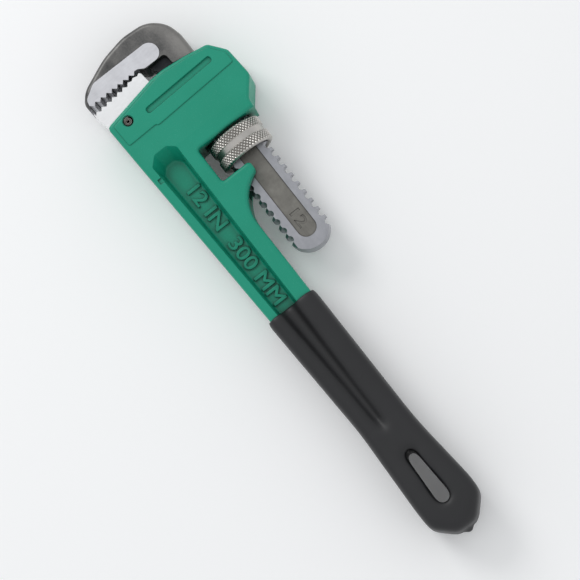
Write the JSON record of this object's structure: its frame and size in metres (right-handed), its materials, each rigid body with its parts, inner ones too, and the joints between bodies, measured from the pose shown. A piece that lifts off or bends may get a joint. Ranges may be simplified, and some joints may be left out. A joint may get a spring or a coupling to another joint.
{
  "type": "adjustable pipe wrench",
  "caption": "Adjustable pipe wrench: cast I-section handle and housing, toothed hook jaw on a threaded shank, knurled nut, heel jaw and dipped grip.",
  "frame": {"origin": "under the middle of the closed wrench, on the surface that it lies on", "axes": "+X along the handle and the shank towards the jaws, +Y from the shank towards the spine of the handle, +Z out of the upper side face"},
  "size_m": [0.2782, 0.0684, 0.028],
  "materials": {
    "painted_iron": "green enamel over sand-cast iron",
    "ground_steel": "ground",
    "pin_steel": "oiled",
    "forged_steel": "forged, scaled and shot blasted",
    "nut_steel": "knurled",
    "spring_steel": "blued",
    "dipped_vinyl": "dipped"
  },
  "bodies": {
    "handle_body": {"handle": "painted_iron", "heel_jaw": "ground_steel", "heel_jaw_pin": "pin_steel", "grip_sleeve": "dipped_vinyl", "spring_rivet": "pin_steel", "coil_spring": "spring_steel"},
    "spring_rocker": {"flat_spring": "spring_steel"},
    "jaw_body": {"hook_jaw": "forged_steel"},
    "nut_body": {"adjusting_nut": "nut_steel"}
  },
  "joints": [
    {"name": "jaw_rock", "type": "hinge", "parent": "handle_body", "child": "spring_rocker", "pos_m": [0.07378, 0.00229, 0.014], "axis": [0, 0, 1], "range_deg": [0, 2.4], "stiffness_Nm_per_rad": 60, "springref_deg": -5.73, "deforming": ["coil_spring"]},
    {"name": "nut_spin", "type": "hinge", "parent": "spring_rocker", "child": "nut_body", "pos_m": [0.06678, -0.01141, 0.014], "axis": [-1, 0, 0], "range_deg": [0, 3240]},
    {"name": "jaw_slide", "type": "slide", "parent": "spring_rocker", "child": "jaw_body", "axis": [1, 0, 0], "range_m": [0, 0.045]}
  ],
  "couplings": [
    {"joint": "nut_spin", "follows": "jaw_slide", "rad_per_m": 1256.6}
  ]
}
